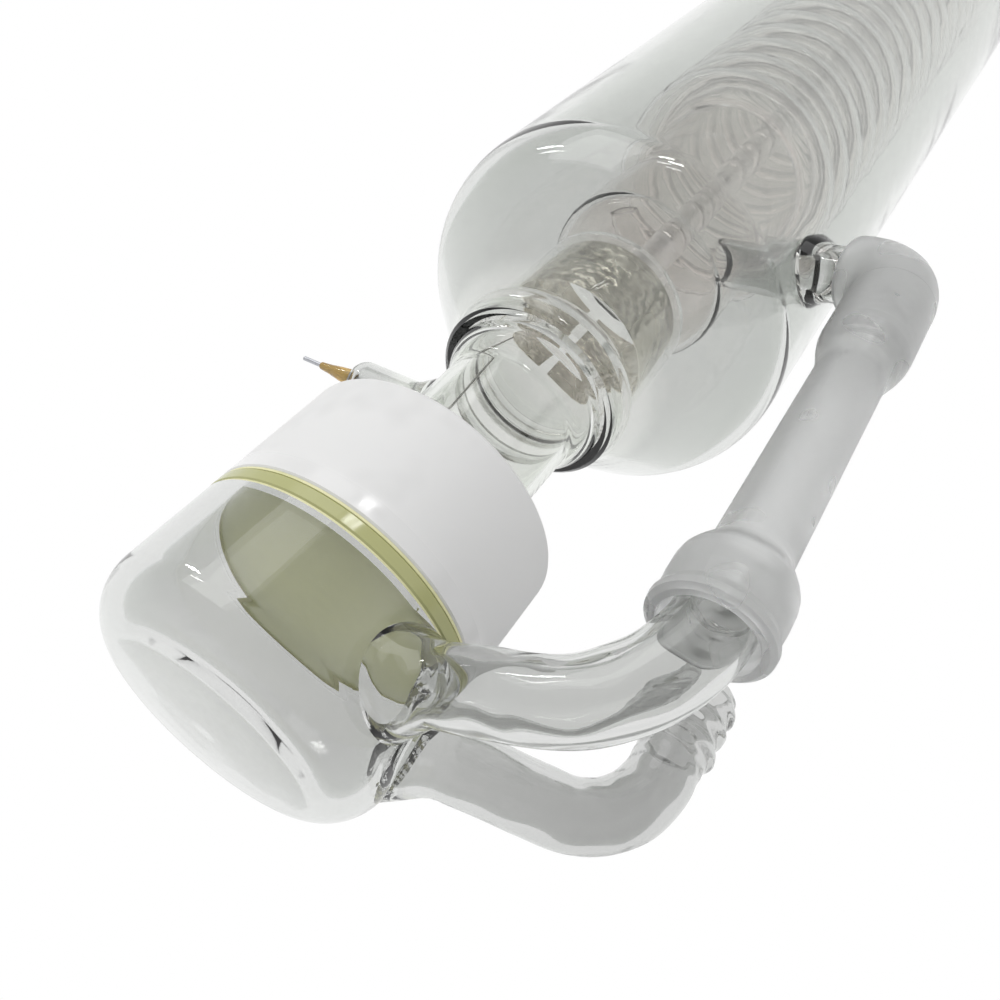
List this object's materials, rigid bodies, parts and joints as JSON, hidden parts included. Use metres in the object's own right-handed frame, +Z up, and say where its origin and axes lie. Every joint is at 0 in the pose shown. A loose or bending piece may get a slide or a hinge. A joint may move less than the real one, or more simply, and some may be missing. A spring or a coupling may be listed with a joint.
{
  "type": "gas laser tube",
  "caption": "Sealed glass gas laser tube with a water-cooled rear mirror cap, glass hose elbows, a bridge hose, side electrode pins and a long clear envelope.",
  "frame": {"origin": "centre of the output collar's front face, on the optical axis", "axes": "+X along the optical axis from the rear water cap to the output face, +Z up as the tube lies on its envelope and its water inlet"},
  "size_m": [1.25, 0.1083, 0.0799],
  "materials": {
    "clear_glass": "gloss",
    "jacket_glass": "gloss",
    "cement": "matt",
    "coated_mirror": "polished",
    "white_collar": "matt",
    "electrode_foil": "satin",
    "lead_wire": "satin",
    "seal_bead": "gloss",
    "pin_wire": "satin",
    "silicone_hose": "satin",
    "coupler_glass": "gloss"
  },
  "bodies": {
    "root": {"rear_cap": "clear_glass", "cap_inlet_elbow": "clear_glass", "cap_return_elbow": "clear_glass", "cap_cement": "cement", "rear_mirror": "coated_mirror", "collar_cement": "cement", "mirror_collar": "white_collar", "rear_neck": "clear_glass", "anode_cylinder": "electrode_foil", "anode_lead": "lead_wire", "anode_side_arm": "clear_glass", "anode_bead": "seal_bead", "anode_pin": "pin_wire", "envelope": "clear_glass", "jacket_nozzle": "clear_glass", "bridge_hose": "silicone_hose", "water_jacket": "jacket_glass", "bore_tube": "jacket_glass", "gas_return_coil": "jacket_glass", "outlet_nozzle": "clear_glass", "output_neck": "clear_glass", "cathode_cylinder": "electrode_foil", "cathode_lead": "lead_wire", "cathode_side_arm": "clear_glass", "cathode_bead": "seal_bead", "cathode_pin": "pin_wire", "output_collar": "white_collar", "output_coupler": "coupler_glass", "coupler_cement": "cement"}
  },
  "joints": []
}
